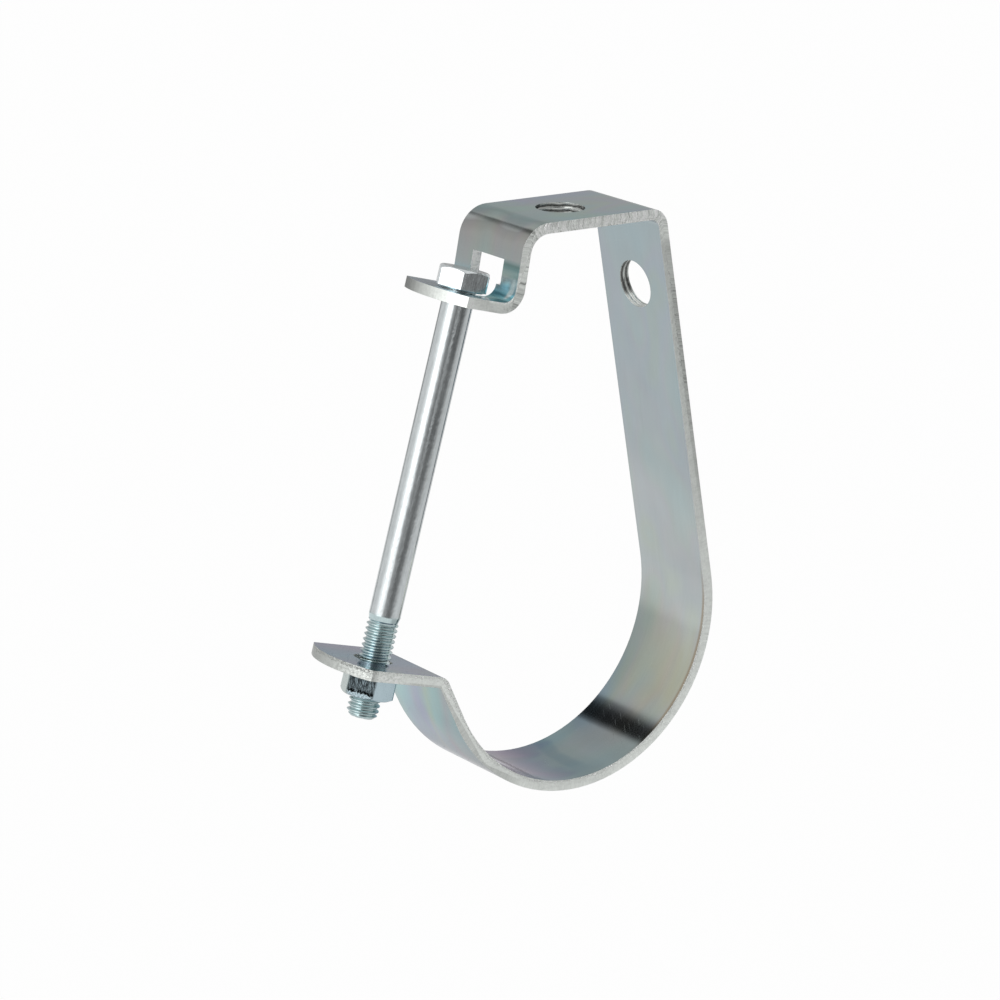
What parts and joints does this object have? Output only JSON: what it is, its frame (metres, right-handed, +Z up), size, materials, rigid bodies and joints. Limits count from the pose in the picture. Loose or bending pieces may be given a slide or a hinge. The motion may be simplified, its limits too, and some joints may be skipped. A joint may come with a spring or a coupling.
{
  "type": "j-hanger",
  "caption": "J-shaped pipe hanger folded from plated steel strap, closed on its open side by a slanting hex bolt and nut, with a rod hole in its top and a fixing hole in its leg.",
  "frame": {"origin": "centre of the rod hole on the top plate's upper face", "axes": "+Z up, against the pull of the pipe; +X towards the long leg; Y along the strap's width, with -Y the side that the picture shows"},
  "size_m": [0.1272, 0.0306, 0.1713],
  "materials": {
    "strap_zinc": "bright zinc plate with a faint iridescent passivate",
    "bolt_zinc": "bright zinc plate",
    "nut_zinc": "bright zinc plate"
  },
  "bodies": {
    "hanger": {"hanger_strap": "strap_zinc"},
    "bolt": {"hex_bolt": "bolt_zinc"},
    "nut": {"hex_nut": "nut_zinc"}
  },
  "joints": [
    {"name": "bolt_turn", "type": "hinge", "parent": "hanger", "child": "bolt", "pos_m": [-0.03435, 0, -0.02016], "axis": [0.253, 0, 0.9675], "range_deg": [0, 2700]},
    {"name": "nut_travel", "type": "slide", "parent": "hanger", "child": "nut", "axis": [-0.253, 0, -0.9675], "range_m": [0, 0.01191]}
  ],
  "couplings": [
    {"joint": "nut_travel", "follows": "bolt_turn", "m_per_rad": 0.00025266}
  ]
}
